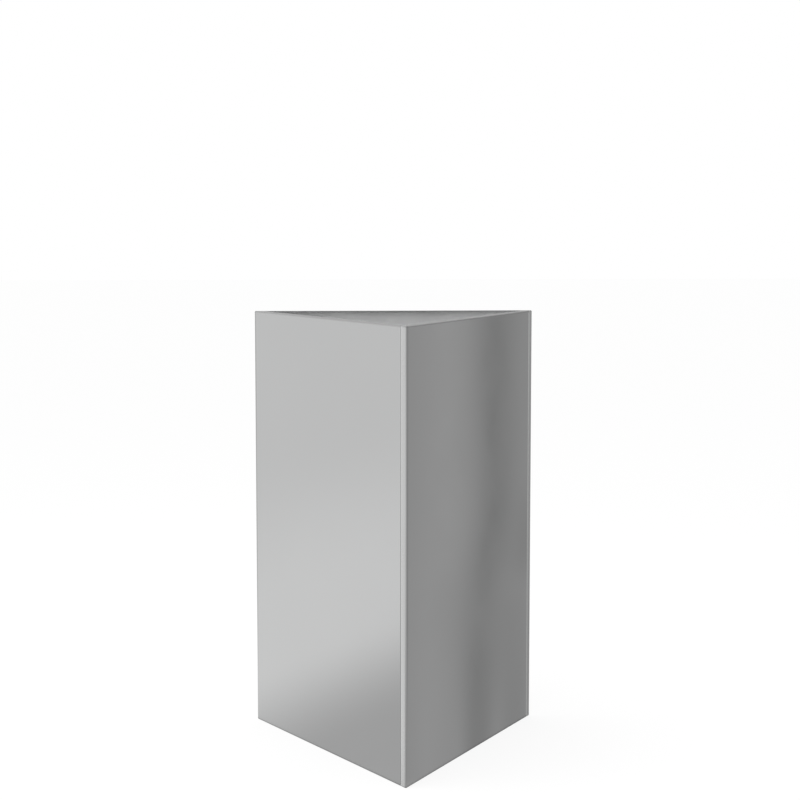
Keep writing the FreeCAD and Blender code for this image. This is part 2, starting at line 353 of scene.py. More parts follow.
def planPoints(deep, width):  # plan line of the sheet at a depth from its outer face
    mitre = width * root3
    far = cutAt(faceEnd, side - mitre - panelSizes["gap"] / 2, deep, width)
    near = cutAt(bandEnd, mitre + panelSizes["gap"] / 4, deep, width)
    points = [Vector((far, deep)), Vector((far - seamOut, deep))]
    for turn in cornerTurns():
        if deep < cornerOut:
            points.append(Vector((tangent, cornerOut)) + turn * (cornerOut - deep))
        else:
            points.append(Vector((deep * root3, deep)))
    points.append(onBand(max(near - seamOut, deep * root3), deep))
    points.append(onBand(near, deep))
    return points


def planNormals():  # outward directions at both ends of each plan stretch
    turns = cornerTurns()
    face, band = turns[0], turns[-1]
    return [(face, face)] * 2 + list(zip(turns, turns[1:])) + [(band, band)] * 2


def planLengths():  # developed distance from the middle of the corner bend, band side negative
    steps = panelSizes["cornerSteps"]
    bend = [arcHalf - 2 * arcHalf * step / steps for step in range(steps + 1)]
    return [faceSeam + seamOut, faceSeam] + bend + [-bandSeam, -bandSeam - seamOut]


def bendRun(centreDeep, centreLevel, radius, start, end):  # (depth, level, facing) round a bend
    points = []
    for step in range(panelSizes["bendSteps"] + 1):
        facing = start + (end - start) * step / panelSizes["bendSteps"]
        turn = math.radians(facing)
        points.append((centreDeep - math.cos(turn) * radius, centreLevel + math.sin(turn) * radius, facing))
    return points


def flatRun(facing, *points):
    return [(*point, facing) for point in points]


def profileRuns():  # stretches of the upright section, each a list of (depth, level, facing angle)
    lip, foot, top = panelSizes["lip"], panelSizes["foot"], height
    under, inner = top - thick, panelSizes["rimBend"]
    wallLevels = (rimOut, foldBottom, foldTop, top - rimOut)
    return {
        "footUnder": flatRun(-90, (foot, 0), (squareEnd, 0), (rimOut, 0)),
        "footBendOut": bendRun(rimOut, rimOut, rimOut, -90, 0),
        "wallOut": flatRun(0, *((0, level) for level in wallLevels)),
        "rimBendOut": bendRun(rimOut, top - rimOut, rimOut, 0, 90),
        "lipTop": flatRun(90, (rimOut, top), (squareEnd, top), (lip, top)),
        "lipEdge": flatRun(180, (lip, top), (lip, under)),
        "lipUnder": flatRun(-90, (lip, under), (squareEnd, under), (rimOut, under)),
        "rimBendIn": bendRun(rimOut, top - rimOut, -inner, -90, -180),
        "wallIn": flatRun(180, *((thick, level) for level in wallLevels[::-1])),
        "footBendIn": bendRun(rimOut, rimOut, -inner, 180, 90),
        "footTop": flatRun(90, (rimOut, thick), (squareEnd, thick), (foot, thick)),
        "footEdge": flatRun(180, (foot, thick), (foot, 0)),
    }


insideRuns = ("lipUnder", "rimBendIn", "wallIn", "footBendIn", "footTop", "footEdge")


class SheetMesh:  # faces made of corners, each a (point, normal, developed UV)
    def __init__(self):
        self.faces = []

    def face(self, corners, inside=False):
        first = corners[0][0]
        area = Vector()
        for number in range(1, len(corners) - 1):
            area += (corners[number][0] - first).cross(corners[number + 1][0] - first)
        if area.length < 1e-12:  # closed up to a line
            return
        facing = sum((normal for point, normal, uv in corners), Vector())
        if area.dot(facing) < 0:
            corners = corners[::-1]
        self.faces.append((corners, int(inside)))

    def build(self, name, place):
        keys, spots, polygons, loopNormals, loopUvs, sides = {}, [], [], [], [], []
        turn = place.to_3x3()
        for corners, inside in self.faces:
            ring = []
            for point, normal, uv in corners:
                key = tuple(round(value * 1e7) for value in point)  # to a tenth of a micrometre
                if key not in keys:
                    keys[key] = len(spots)
                    spots.append(place @ point)
                beside = [item[0] for item in ring[:1] + ring[-1:]]
                if keys[key] not in beside:
                    ring.append((keys[key], turn @ normal, uv))
            if len(ring) < 3:
                continue
            polygons.append([item[0] for item in ring])
            sides.append(inside)
            loopNormals.extend(item[1] for item in ring)
            loopUvs.extend(item[2] for item in ring)
        mesh = bpy.data.meshes.new(name)
        mesh.from_pydata(spots, [], polygons)
        layer = mesh.uv_layers.new(name="sheet")
        for loop, uv in zip(layer.data, loopUvs):
            loop.uv = uv
        mesh.polygons.foreach_set("material_index", sides)
        mesh.shade_smooth()
        mesh.normals_split_custom_set(loopNormals)
        return newObject(name, mesh)


def newObject(name, data):
    item = bpy.data.objects.new(name, data)
    bpy.context.scene.collection.objects.link(item)
    return item


def turnedWidth(level):  # how far the sheet is turned in at the rim or at the floor
    return panelSizes["lip"] if level > height / 2 else panelSizes["foot"]


def facingVector(planNormal, facing):
    turn = math.radians(facing)
    return upright(planNormal * math.cos(turn), math.sin(turn))


def addWall(sheet):
    normals, lengths = planNormals(), planLengths()
    seamColumns = (0, len(normals) - 1)
    for name, run in profileRuns().items():
        for start, end in zip(run, run[1:]):
            width = turnedWidth((start[1] + end[1]) / 2)
            midWall = abs(start[1] - end[1]) > height / 2
            rows = []
            for deep, level, facing in (start, end):
                rows.append((planPoints(deep, width), level, level + deep, facing))
            for column, outward in enumerate(normals):
                if midWall and column in seamColumns:  # the seam flanges start here
                    continue
                corners = []
                for (line, level, reach, facing), order in zip(rows, ((0, 1), (1, 0))):
                    for step in order:
                        point = upright(line[column + step], level)
                        normal = facingVector(outward[step], facing)
                        corners.append((point, normal, (lengths[column + step], reach)))
                sheet.face(corners, name in insideRuns)


def addCut(sheet, outline, normal):  # flat cut edge of the sheet, round (column, depth, level) corners
    corners = []
    for column, deep, level in outline:
        point = upright(planPoints(deep, turnedWidth(level))[column], level)
        corners.append((point, normal, (point.x, point.z)))
    sheet.face(corners)


def addWallEnds(sheet):  # cut edges of the sheet at both seams
    runs = profileRuns()
    footLoop = [(thick, foldBottom, 0)] + runs["footBendIn"] + runs["footTop"][:2]
    footLoop += runs["footUnder"][1:] + runs["footBendOut"] + [(0, foldBottom, 0)]
    rimLoop = [(0, foldTop, 0)] + runs["rimBendOut"] + runs["lipTop"][:2]
    rimLoop += runs["lipUnder"][1:] + runs["rimBendIn"] + [(thick, foldTop, 0)]
    lip, foot, top = panelSizes["lip"], panelSizes["foot"], height
    footTip = [(squareEnd, 0), (foot, 0), (foot, thick), (squareEnd, thick)]
    lipTip = [(squareEnd, top - thick), (lip, top - thick), (lip, top), (squareEnd, top)]
    last = len(planNormals())
    for edge, inner, outward in ((0, 1, Vector((1, 0))), (last, last - 1, bandAlong)):
        for level, up in ((foldBottom, 1), (foldTop, -1)):
            outline = [(edge, 0, level), (inner, 0, level), (inner, thick, level), (edge, thick, level)]
            addCut(sheet, outline, Vector((0, 0, up)))
        for loop in (footLoop, rimLoop, footTip, lipTip):
            addCut(sheet, [(edge, *spot[:2]) for spot in loop], upright(outward, 0))


def holeLevels():
    count, first = panelSizes["holes"], panelSizes["firstHole"]
    return [first + (height - 2 * first) * number / (count - 1) for number in range(count)]


def flangeRows():  # levels that cut the flat of a flange into rows, every second one round a hole
    reach = 2 * panelSizes["holeRadius"]
    rows = [foldBottom]
    for level in holeLevels():
        rows += [level - reach, level + reach]
    return rows + [foldTop]


def flangeCorner(spot, level):
    plan, normal, length = spot
    return upright(plan, level), normal, (length, level)


def addStrip(sheet, first, second, firstLevels, secondLevels, inside):  # upright face between two spots
    corners = [flangeCorner(second, level) for level in secondLevels]
    corners += [flangeCorner(first, level) for level in firstLevels[::-1]]
    sheet.face(corners, inside)


def holeRing(first, second, level):  # rim of a hole in the flat between two spots
    flat = second[0] - first[0]
    middle = (panelSizes["holeDepth"] - seamOut) / flat.length
    radius = panelSizes["holeRadius"]
    ring = []
    for step in range(panelSizes["holeSteps"]):
        angle = 2 * math.pi * step / panelSizes["holeSteps"]
        share = middle + radius / flat.length * math.cos(angle)
        spot = (first[0] + flat * share, first[1], first[2] + (second[2] - first[2]) * share)
        ring.append(flangeCorner(spot, level + radius * math.sin(angle)))
    return ring


def addDrilledFlat(sheet, first, second, inside):
    rows = flangeRows()
    for number, (low, high) in enumerate(zip(rows, rows[1:])):
        if number % 2 == 0:
            addStrip(sheet, first, second, [low, high], [low, high], inside)
            continue
        ring = holeRing(first, second, (low + high) / 2)
        box = ((second, high), (first, high), (first, low), (second, low))
        box = [flangeCorner(*corner) for corner in box]
        quarter = len(ring) // 4
        for turn in range(4):
            end = quarter // 2 + quarter * (turn + 1)
            arc = [ring[(end - step) % len(ring)] for step in range(quarter + 1)]
            sheet.face([box[turn], box[(turn + 1) % 4]] + arc, inside)


def addHoleWalls(sheet, front, back):  # walls of the holes, from one side of the flange to the other
    for level in holeLevels():
        near, far = holeRing(*front, level), holeRing(*back, level)
        centre = sum((point for point, normal, uv in near), Vector()) / len(near)
        for step in range(len(near)):
            corners = []
            for ring, number in ((near, step), (near, step + 1), (far, step + 1), (far, step)):
                number %= len(near)
                rim, normal, uv = near[number]
                corners.append((ring[number][0], (centre - rim).normalized(), uv))
            sheet.face(corners, True)


def addFlange(sheet, start, along, deep, length, sign):  # seam bend and flange, from where the wall stops
    outside, away = upright(-deep, 0), upright(along, 0)
    front, back = [], []  # (plan spot, normal, developed length) from the wall to the tip
    for step in range(panelSizes["bendSteps"] + 1):
        turn = math.radians(90 * step / panelSizes["bendSteps"])
        normal = outside * math.cos(turn) + away * math.sin(turn)
        reach = length + sign * seamOut * turn
        for run, radius, facing in ((front, seamOut, normal), (back, panelSizes["seamBend"], -normal)):
            spot = start + along * radius * math.sin(turn) + deep * (seamOut - radius * math.cos(turn))
            run.append((spot, facing, reach))
    tip = start + along * seamOut + deep * panelSizes["flange"]
    reach += sign * (panelSizes["flange"] - seamOut)
    front.append((tip, away, reach))
    back.append((tip - along * thick, -away, reach))
    ends, rows = [foldBottom, foldTop], flangeRows()
    flat = len(front) - 2
    for run, inside in ((front, False), (back, True)):
        for number in range(flat):
            farLevels = rows if number == flat - 1 else ends
            addStrip(sheet, run[number], run[number + 1], ends, farLevels, inside)
        addDrilledFlat(sheet, run[flat], run[flat + 1], inside)
    addHoleWalls(sheet, front[flat:], back[flat:])
    edges = [(run[-1][0], -outside, reach) for run in (front, back)]
    addStrip(sheet, *edges, rows, rows, False)
    for level, up in ((foldBottom, -1), (foldTop, 1)):
        upward = Vector((0, 0, up))
        for number in range(flat + 1):
            ring = (front[number], front[number + 1], back[number + 1], back[number])
            sheet.face([(upright(spot, level), upward, (span, level)) for spot, normal, span in ring])


def makePanel(name, node, corner, turn, outer, inner):
    sheet = SheetMesh()
    addWall(sheet)
    addWallEnds(sheet)
    addFlange(sheet, Vector((faceEnd - seamOut, 0)), Vector((1, 0)), Vector((0, 1)), faceSeam, 1)
    addFlange(sheet, onBand(bandEnd - seamOut, 0), bandAlong, bandDeep, -bandSeam, -1)
    place = Matrix.Translation(triangle[corner]) @ Matrix.Rotation(math.radians(turn), 4, "Z")
    panel = sheet.build(name, place)
    panel.data.materials.append(outer)
    panel.data.materials.append(inner)
    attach(panel, "shell")
    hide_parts(node)


panelOutside = panelSteel(arcHalf, faceSeam, bandSeam)
panelInside = millSteel("panelInside", panelMill)
for name, node, corner, turn in (
    ("rightPanel", "right_panel", "front", 60),
    ("backPanel", "back_panel", "right", 180),
    ("leftPanel", "left_panel", "left", 300),
):
    makePanel(name, node, corner, turn, panelOutside, panelInside)
print("panels folded")


# trees that repeat a shape: a tree, its named inputs, and a plain mesh from one run
def newTree(name, sockets):
    tree = bpy.data.node_groups.new(name, "GeometryNodeTree")
    tree.interface.new_socket(name="Geometry", in_out="OUTPUT", socket_type="NodeSocketGeometry")
    for label, kind in sockets.items():
        tree.interface.new_socket(name=label, in_out="INPUT", socket_type="NodeSocket" + kind)
    wires = Wire(tree)
    start = wires.add("NodeGroupInput")
    return wires, {label: start.output(label) for label in sockets}


def closeTree(wires, geometry, material):
    whole = wires.add("GeometryNodeRealizeInstances", None, {"Geometry": geometry})
    painted = wires.add("GeometryNodeSetMaterial", None, {"Geometry": whole, "Material": material})
    wires.add("NodeGroupOutput", None, {"Geometry": painted})


def runTree(name, mesh, wires, values):
    source = newObject(name + "Source", mesh)
    modifier = source.modifiers.new("repeat", "NODES")
    modifier.node_group = wires.tree
    for item in wires.tree.interface.items_tree:
        if item.in_out == "INPUT" and item.name in values:
            modifier[item.identifier] = values[item.name]
    evaluated = source.evaluated_get(bpy.context.evaluated_depsgraph_get())
    result = bpy.data.meshes.new_from_object(evaluated)
    result.name = name
    bpy.data.objects.remove(source)
    return newObject(name, result)


# screws, washers and nuts of the three seams, modelled once along X and repeated by one tree
fastenerSizes = {
    "tip": 0.0101,  # distances from the corner along the screw
    "nutStart": 0.0109,
    "nutEnd": 0.0149,
    "washerStart": 0.0171,
    "washerEnd": 0.0181,
    "headEnd": 0.02085,
    "shank": 0.0025,
    "root": 0.00205,
    "pitch": 0.0008,
    "pitchSteps": 6,
    "crest": 1.3,  # over 1 leaves a flat on each crest
    "tipRadius": 0.00175,
    "tipChamfer": 0.0006,
    "headRadius": 0.00475,
    "headRim": 0.0006,
    "headTop": 0.0024,
    "headSteps": 8,
    "socket": 0.003,
    "socketMouth": 0.00195,
    "socketDepth": 0.0016,
    "socketCone": 0.0004,
    "washerHole": 0.00275,
    "washerRadius": 0.005,
    "washerRim": (0.00015, 0.0002),  # its upper edge: down the rim, and across
    "ease": 0.0001,  # broken edges of heads and washers
    "nutWidth": 0.008,
    "nutFlat": 0.475,  # radius of the end faces, as a share of the width
    "nutBore": 0.0026,
    "nutSink": 0.0003,
    "nutSlope": 30,
    "steps": 36,
    "sharpAngle": 38,  # steeper edges stay crisp
}


def ring(along, radius):  # points round the X axis; both may depend on the angle
    points = []
    for step in range(fastenerSizes["steps"]):
        angle = 2 * math.pi * step / fastenerSizes["steps"]
        far = radius(angle) if callable(radius) else radius
        x = along(angle) if callable(along) else along
        points.append((x, far * math.cos(angle), far * math.sin(angle)))
    return points


def hexRadius(width):
    def radius(angle):
        turn = (angle + math.pi / 6) % (math.pi / 3) - math.pi / 6
        return width / 2 / math.cos(turn)
    return radius


def ringMesh(name, rings, closed=False):  # rings joined in order; a ring of one point closes an end
    spots, starts, faces = [], [], []
    for points in rings:
        starts.append(len(spots))
        spots.extend(points)
    pairs = [(number, number + 1) for number in range(len(rings) - 1)]
    if closed:
        pairs.append((len(rings) - 1, 0))
    for a, b in pairs:
        count = max(len(rings[a]), len(rings[b]))
        for step in range(count):
            corners = []
            for which, turn in ((a, step), (a, step + 1), (b, step + 1), (b, step)):
                corner = starts[which] + turn % len(rings[which])
                if corner not in corners:
                    corners.append(corner)
            faces.append(corners)
    mesh = bpy.data.meshes.new(name)
    mesh.from_pydata(spots, [], faces)
    work = bmesh.new()
    work.from_mesh(mesh)
    bmesh.ops.recalc_face_normals(work, faces=work.faces)
    work.to_mesh(mesh)
    work.free()
    mesh.shade_smooth()
    mesh.set_sharp_from_angle(angle=math.radians(fastenerSizes["sharpAngle"]))
    return mesh


def threadRadius(x):
    sizes = fastenerSizes

    def radius(angle):
        phase = (x / sizes["pitch"] - angle / (2 * math.pi)) % 1
        crest = min(1.0, sizes["crest"] * (1 - abs(2 * phase - 1)))
        return sizes["root"] + (sizes["shank"] - sizes["root"]) * crest
    return radius


def screwMesh():
    sizes = fastenerSizes
    tip, bearing, top = sizes["tip"], sizes["washerEnd"], sizes["headEnd"]
    rings = [[(tip, 0, 0)], ring(tip, sizes["tipRadius"])]
    start = tip + sizes["tipChamfer"]
    count = round((bearing - start) / (sizes["pitch"] / sizes["pitchSteps"]))
    for step in range(count + 1):
        x = start + (bearing - start) * step / count
        rings.append(ring(x, threadRadius(x)))
    rings.append(ring(bearing, sizes["headRadius"] - sizes["ease"]))
    rings.append(ring(bearing + sizes["ease"], sizes["headRadius"]))
    shoulder = bearing + sizes["headRim"]
    for step in range(sizes["headSteps"] + 1):
        turn = math.radians(90) * step / sizes["headSteps"]
        far = sizes["headTop"] + (sizes["headRadius"] - sizes["headTop"]) * math.cos(turn)
        rings.append(ring(shoulder + (top - shoulder) * math.sin(turn), far))
    rings.append(ring(top, sizes["socketMouth"]))
    rings.append(ring(top - sizes["ease"], hexRadius(sizes["socket"])))
    rings.append(ring(top - sizes["socketDepth"], hexRadius(sizes["socket"])))
    rings.append([(top - sizes["socketDepth"] - sizes["socketCone"], 0, 0)])
    return ringMesh("screw", rings)


def washerMesh():
    sizes = fastenerSizes
    low, high, ease = sizes["washerStart"], sizes["washerEnd"], sizes["ease"]
    hole, far = sizes["washerHole"], sizes["washerRadius"]
    down, across = sizes["washerRim"]
    section = [
        (low + ease, hole), (low, hole + ease), (low, far - ease), (low + ease, far),
        (high - down, far), (high, far - across), (high, hole + ease), (high - ease, hole),
    ]
    return ringMesh("washer", [ring(x, radius) for x, radius in section], closed=True)


def nutMesh():
    sizes = fastenerSizes
    low, high = sizes["nutStart"], sizes["nutEnd"]
    bore, sink = sizes["nutBore"], sizes["nutSink"]
    flat = sizes["nutWidth"] * sizes["nutFlat"]
    corner = hexRadius(sizes["nutWidth"])
    slope = math.tan(math.radians(sizes["nutSlope"]))
    rings = [
        ring(low + sink, bore), ring(low, bore + sink), ring(low, flat),
        ring(lambda angle: low + (corner(angle) - flat) * slope, corner),
        ring(lambda angle: high - (corner(angle) - flat) * slope, corner),
        ring(high, flat), ring(high, bore + sink), ring(high - sink, bore),
    ]
    return ringMesh("nut", rings, closed=True)


def fastenerRows():
    wires, inputs = newTree("fastenerRows", {
        "Geometry": "Geometry", "Levels": "Int", "First Level": "Float", "Spacing": "Float", "Seams": "Int",
        "Centre": "Vector", "Arm": "Vector", "Turn": "Float", "Seed": "Int", "Material": "Material",
    })
    first = wires.add("ShaderNodeCombineXYZ", None, {"Z": inputs["First Level"]})
    rise = wires.add("ShaderNodeCombineXYZ", None, {"Z": inputs["Spacing"]})
    levels = wires.add("GeometryNodeMeshLine", {"mode": "OFFSET"}, {
        "Count": inputs["Levels"], "Start Location": first, "Offset": rise,
    })
    chance = wires.add("FunctionNodeRandomValue", {"data_type": "FLOAT"}, {"Seed": inputs["Seed"]}, out=1)
    twist = wires.add("ShaderNodeCombineXYZ", None, {"X": chance * 6.283})  # up to a full turn
    row = wires.add("GeometryNodeInstanceOnPoints", None, {
        "Points": levels, "Instance": inputs["Geometry"], "Rotation": twist,
    })
    heading = wires.add("ShaderNodeCombineXYZ", None, {"Z": inputs["Turn"]})
    placed = wires.add("GeometryNodeTransform", None, {
        "Geometry": row, "Translation": inputs["Arm"], "Rotation": heading,
    })
    hubs = wires.add("GeometryNodeMeshLine", {"mode": "OFFSET"}, {
        "Count": inputs["Seams"], "Start Location": inputs["Centre"], "Offset": (0, 0, 0),
    })
    number = wires.add("GeometryNodeInputIndex")
    around = wires.add("ShaderNodeCombineXYZ", None, {"Z": number * (2 * math.pi) / inputs["Seams"]})
    seams = wires.add("GeometryNodeInstanceOnPoints", None, {
        "Points": hubs, "Instance": placed, "Rotation": around,
    })
    closeTree(wires, seams, inputs["Material"])
    return wires


fastenerFinish = {
    "dark": (0.44, 0.445, 0.45),
    "light": (0.62, 0.62, 0.615),
    "roughness": 0.26,
    "blotch": (160.0, 4.0),
    "blotchShare": 0.7,  # in the colour, beside the marks
    "blotchRoughness": 0.10,
    "marks": (2400.0, 2.0),
    "markRoughness": 0.16,
    "markDepth": 0.000006,
}


def fastenerSteel():
    look = fastenerFinish
    material, wires = newMaterial("fastenerSteel")
    solid = wires.add("ShaderNodeTexCoord", out="Object")
    blotch = wires.noise(solid, *look["blotch"])
    marks = wires.noise(solid, *look["marks"])
    colour = speckledColour(look, blotch, marks)
    uneven = (blotch - 0.5) * look["blotchRoughness"] + (marks - 0.5) * look["markRoughness"]
    relief = wires.bump(marks * look["markDepth"])
    closeMaterial(wires, wires.steel(colour, look["roughness"] + uneven, relief))
    return material


axisSpot = Vector((0, cadHigh.y - side * root3 / 6, 0))  # axis of the triangle
seamTurn = math.radians(120)
behindFace = Vector((math.sin(seamTurn), -math.cos(seamTurn), 0)) * panelSizes["holeDepth"]
seamRows = {
    "Levels": panelSizes["holes"],
    "First Level": holeLevels()[0],
    "Spacing": holeLevels()[1] - holeLevels()[0],
    "Seams": 3,
    "Centre": axisSpot,
    "Arm": triangle["front"] - axisSpot + behindFace,
    "Turn": seamTurn,
    "Material": fastenerSteel(),
}
rowTree = fastenerRows()
for name, makeMesh, seed in (
    ("seamScrews", screwMesh, 3),
    ("seamWashers", washerMesh, 5),
    ("seamNuts", nutMesh, 8),
):
    piece = runTree(name, makeMesh(), rowTree, {**seamRows, "Seed": seed})
    kind = name[4:].lower()
    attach(piece, "shell")
    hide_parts(f"front_seam_{kind}", f"right_seam_{kind}", f"left_seam_{kind}")
print("seams screwed")


# base plate: cut-cornered triangle with drain holes, filled and raised by a tree
baseSizes = {
    "thickness": 0.0015,
    "clearance": 0.003,
    "cornerCut": 0.046,
    "cornerRadius": 0.005,
    "drain": 0.012,
    "drainRing": 0.075,
    "drains": 6,
    "cornerSteps": 8,
    "drainSteps": 48,
    "weld": 0.00001,
    "ease": 0.00015,  # broken edges
    "easeAngle": 60,  # edges steeper than this are broken
    "sharpAngle": 15,  # keeps the broad faces flat beside the eased edges
}


def baseOutline():
    edge = side / math.sqrt(12) - panelSizes["lip"] - baseSizes["clearance"]
    cut = side / root3 - baseSizes["cornerCut"]
    half = (2 * edge - cut) * math.tan(math.radians(30))
    spots = []
    for turn in (30, 150, 270):
        out = Vector((math.cos(math.radians(turn)), math.sin(math.radians(turn)), 0))
        across = Vector((-out.y, out.x, 0))
        spots.extend((out * cut - across * half, out * cut + across * half))
    mesh = bpy.data.meshes.new("baseOutline")
    mesh.from_pydata(spots, [(number, (number + 1) % 6) for number in range(6)], [])
    return mesh


def drainedPlate():
    wires, inputs = newTree("drainedPlate", {
        "Geometry": "Geometry", "Corner Radius": "Float", "Thickness": "Float", "Hole Radius": "Float",
        "Ring Radius": "Float", "Holes": "Int", "Place": "Vector", "Material": "Material",
    })
    outline = wires.add("GeometryNodeMeshToCurve", None, {"Mesh": inputs["Geometry"]})
    rounded = wires.add("GeometryNodeFilletCurve", {"mode": "POLY"}, {
        "Curve": outline, "Radius": inputs["Corner Radius"], "Count": baseSizes["cornerSteps"],
    })
    circle = wires.add("GeometryNodeCurvePrimitiveCircle", None, {
        "Resolution": baseSizes["drainSteps"], "Radius": inputs["Hole Radius"],
    })
    around = wires.add("GeometryNodeMeshCircle", None, {
        "Vertices": inputs["Holes"], "Radius": inputs["Ring Radius"],
    })
    turned = wires.add("GeometryNodeTransform", None, {
        "Geometry": around, "Rotation": (0, 0, math.radians(90)),
    })
    centre = wires.add("GeometryNodeMeshLine", {"mode": "OFFSET"}, {"Count": 1})
    spots = wires.add("GeometryNodeJoinGeometry", None, {0: [turned, centre]})
    holes = wires.add("GeometryNodeInstanceOnPoints", None, {"Points": spots, "Instance": circle})
    cuts = wires.add("GeometryNodeRealizeInstances", None, {"Geometry": holes})
    lines = wires.add("GeometryNodeJoinGeometry", None, {0: [rounded, cuts]})
    filled = wires.add("GeometryNodeFillCurve", None, {"Curve": lines})
    raised = wires.add("GeometryNodeExtrudeMesh", None, {
        "Mesh": filled, "Offset Scale": inputs["Thickness"], "Individual": False,
    })
    under = wires.add("GeometryNodeFlipFaces", None, {"Mesh": filled})
    plate = wires.add("GeometryNodeJoinGeometry", None, {0: [raised, under]})
    welded = wires.add("GeometryNodeMergeByDistance", None, {
        "Geometry": plate, "Distance": baseSizes["weld"],
    })
    placed = wires.add("GeometryNodeTransform", None, {"Geometry": welded, "Translation": inputs["Place"]})
    closeTree(wires, placed, inputs["Material"])
    return wires


def easeEdges(mesh):  # break the sharp edges
    work = bmesh.new()
    work.from_mesh(mesh)
    bmesh.ops.recalc_face_normals(work, faces=work.faces)
    steep = math.radians(baseSizes["easeAngle"])
    sharp = [edge for edge in work.edges if edge.is_manifold and edge.calc_face_angle() > steep]
    bmesh.ops.bevel(work, geom=sharp, offset=baseSizes["ease"], segments=2, affect="EDGES", profile=0.5)
    work.to_mesh(mesh)
    work.free()
    mesh.shade_smooth()
    mesh.set_sharp_from_angle(angle=math.radians(baseSizes["sharpAngle"]))


basePlate = runTree("basePlate", baseOutline(), drainedPlate(), {
    "Corner Radius": baseSizes["cornerRadius"],
    "Thickness": baseSizes["thickness"],
    "Hole Radius": baseSizes["drain"] / 2,
    "Ring Radius": baseSizes["drainRing"],
    "Holes": baseSizes["drains"],
    "Place": axisSpot + Vector((0, 0, thick)),
    "Material": millSteel("baseSteel", baseMill),
})
easeEdges(basePlate.data)
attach(basePlate, "base")
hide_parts("base_plate")
print("base laid")


# floor and background: white to the camera, and a painted studio floor in the metal's reflections
stageLook = {
    "floorSize": 40.0,
    "floorColour": (0.93, 0.93, 0.93),
    "cameraWhite": 0.82,  # share of plain white that the camera sees on the floor
    "worldLight": 1.0,
    "skyLeft": 0.9,  # what the metal mirrors just over the floor, and high up
    "skyRight": 0.45,
    "skyTurn": (-0.5, 0.5),
    "skyHigh": 0.8,
    "skyRise": (0.15, 0.7),
    "skyTop": 0.4,  # more straight overhead
    "skyOver": (0.7, 1.0),
    "frontLevel": 0.61,  # levels of the painted floor, and where one turns into the next
    "backLevel": 1.0,
    "backReach": (0.0, 0.4),
    "farLevel": 0.9,
    "farReach": (0.7, 2.0),
    "aheadReach": (0.4, 1.8),
    "rightReach": (-0.05, 0.05),
    "fanCentre": (-2.529, -1.858),  # the grey streaks on the right spread from here
    "fanFrom": 15.0,
    "fanTo": 55.0,
    "streaks": (
        (0.0, 0.80), (0.36, 0.46), (0.45, 0.42), (0.475, 0.525), (0.50, 0.45),
        (0.511, 0.25), (0.519, 0.25), (0.53, 0.41), (0.62, 0.50), (1.0, 0.85),
    ),  # one dark strip among pale ones
    "streakShift": 0.45,  # degrees that the streaks move near the floor
    "shiftRise": (0.0, 0.3),
    "streakMean": 0.43,  # and they fade towards this near the object
    "streakFade": 0.5,
    "fadeReach": (0.05, 0.7),
    "fadeRise": (0.0, 0.2),
    "dimShade": 0.13,  # dimmer past the dark strip, on the floor
    "dimFan": (0.526, 0.541),
    "dimRise": (0.02, 0.12),
    "patchShade": 0.25,  # and then low on the card
    "patchFan": (0.536, 0.541),
    "patchRise": (0.05, 0.17),
    "patchTop": (0.22, 0.36),
    "dimEnd": (0.545, 0.560),
    "contactPaintedShadow": 0.40,  # painted contact shadow: a darker line where the foot meets the floor
    "contactReach": 0.008,
    "underReach": (-0.020, -0.010),  # the floor under the object keeps its shade
    "cardStart": (0.125, 0.0),
    "cardFacing": (0.841, 0.541),
    "cardDistance": 1.0,
    "cardHalf": 0.45,
    "cardHeight": 1.3,
}


def placeOn(wires):
    x = wires.add("ShaderNodeSeparateXYZ", None, {0: wires.add("ShaderNodeTexCoord", out="Object")})
    return x, x.output("Y"), x.output("Z")


def footprintGap(x, y):  # distance outside the three foot edges
    gap = None
    for turn in (-30, 90, 210):
        out = Vector((math.cos(math.radians(turn)), math.sin(math.radians(turn))))
        away = x * out.x + y * out.y - (axisSpot.xy.dot(out) + side / math.sqrt(12))
        gap = away if gap is None else gap.maths("MAXIMUM", gap, away)
    return gap


def streakedGrey(wires, x, y, z):
    look = stageLook
    angle = wires.maths("ARCTAN2", y - look["fanCentre"][1], x - look["fanCentre"][0])
    shift = (1 - z.between(*look["shiftRise"])) * look["streakShift"]
    fan = (angle * (180 / math.pi) + shift - look["fanFrom"]) / (look["fanTo"] - look["fanFrom"])
    streaks = wires.add("ShaderNodeValToRGB", {"stops": look["streaks"]}, {"Fac": fan})
    streak = wires.add("ShaderNodeSeparateXYZ", None, {0: streaks})
    near = 1 - (x.between(*look["fadeReach"]) + z.between(*look["fadeRise"])) * 0.5
    faded = streak + (look["streakMean"] - streak) * near * look["streakFade"]
    low = fan.between(*look["dimFan"]) * (1 - z.between(*look["dimRise"]))
    patch = fan.between(*look["patchFan"]) * z.between(*look["patchRise"])
    patch = patch * (1 - z.between(*look["patchTop"]))
    dim = low * look["dimShade"] + patch * look["patchShade"]
    return faded * (1 - dim * (1 - fan.between(*look["dimEnd"])))


def paintedFloor(wires):  # level by place: bright behind on the left, streaked grey on the right
    look = stageLook
    x, y, z = placeOn(wires)
    behind = y.between(*look["backReach"]) * (look["backLevel"] - look["frontLevel"])
    far = y.between(*look["farReach"]) * (look["backLevel"] - look["farLevel"])
    ahead = (-y).between(*look["aheadReach"]) * (look["farLevel"] - look["frontLevel"])
    left = look["frontLevel"] + behind - far + ahead
    right = streakedGrey(wires, x, y, z)
    level = left + (right - left) * x.between(*look["rightReach"])
    # painted contact shadow round the footprint, seen in the metal
    contact = look["contactPaintedShadow"] * (1 - footprintGap(x, y).between(0.0, look["contactReach"]))
    return level * (1 - contact)


def stageSheet(name, spots, material):
    mesh = bpy.data.meshes.new(name)
    mesh.from_pydata(spots, [], [(0, 1, 2, 3)])
    mesh.materials.append(material)
    sheet = newObject(name, mesh)
    return sheet


